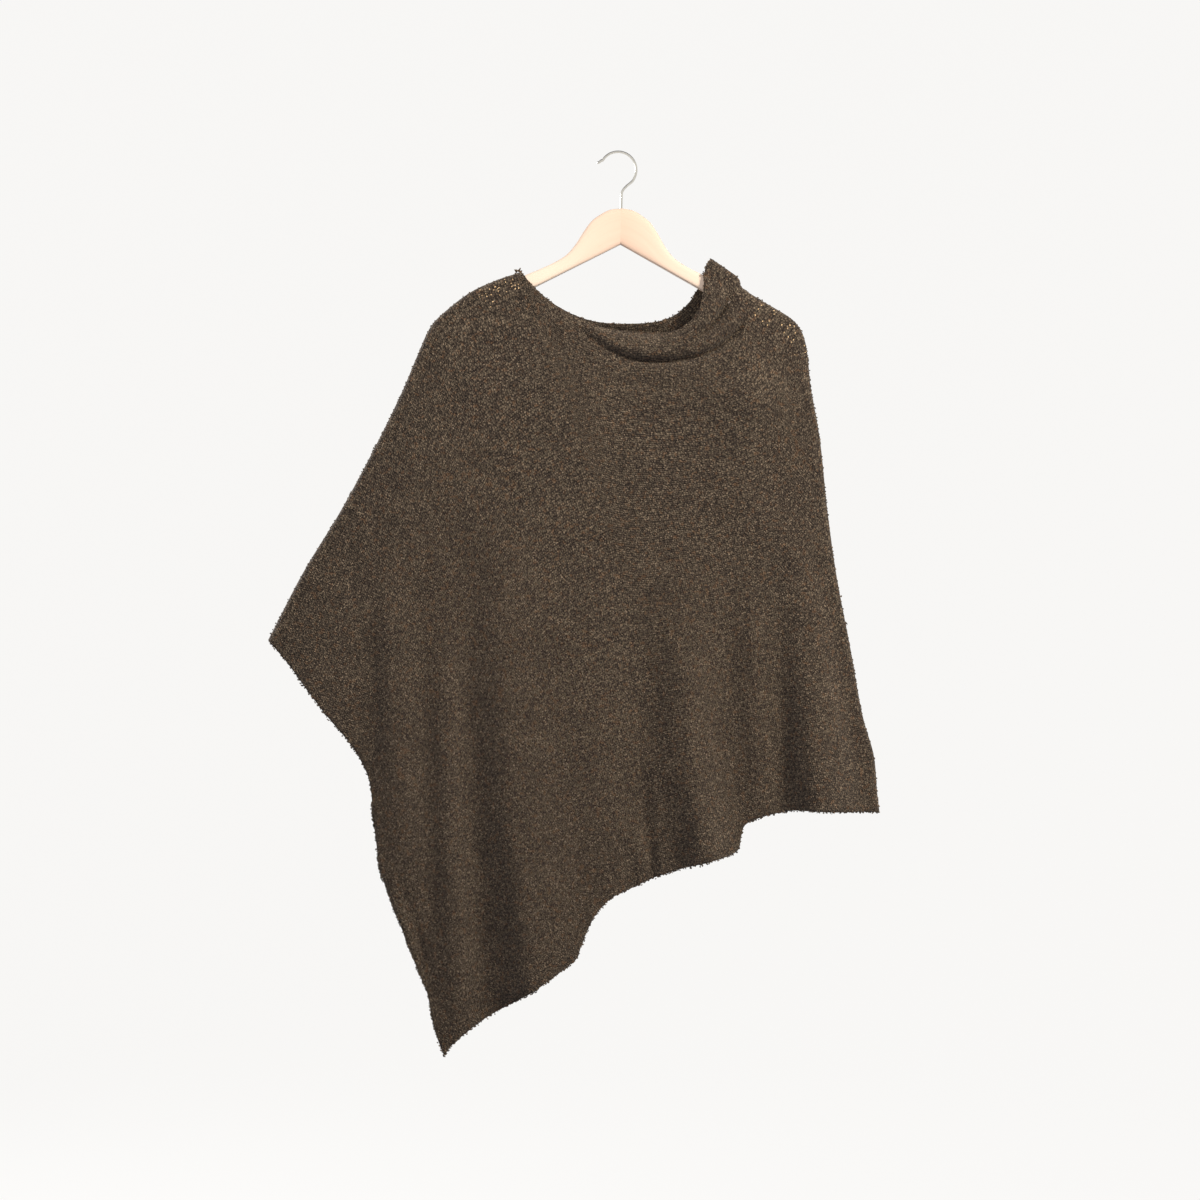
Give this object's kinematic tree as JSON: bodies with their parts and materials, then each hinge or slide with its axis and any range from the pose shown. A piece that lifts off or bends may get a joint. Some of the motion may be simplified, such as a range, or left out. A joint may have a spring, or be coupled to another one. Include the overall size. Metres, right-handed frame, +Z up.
{
  "type": "poncho on a hanger",
  "caption": "Asymmetric knitted poncho with a slanting hem, folded down one side and seamed over the other shoulder, hung on a wooden clothes hanger with a wire hook.",
  "frame": {"origin": "inside of the hook's bend, at its top, where a rail carries the hanger", "axes": "+X to the right as seen from the front, along the hanger; -Y towards the front of the poncho; +Z up"},
  "size_m": [0.74, 0.0909, 1.0931],
  "materials": {
    "knit": "matt nubby knit, dark brown with tan flecks",
    "wood": "pale, smooth, satin lacquer",
    "steel": "polished wire"
  },
  "bodies": {
    "root": {"poncho_front": "knit", "poncho_back": "knit", "hanger_arm_left": "wood", "hanger_arm_right": "wood", "hanger_hook": "steel"}
  },
  "joints": []
}
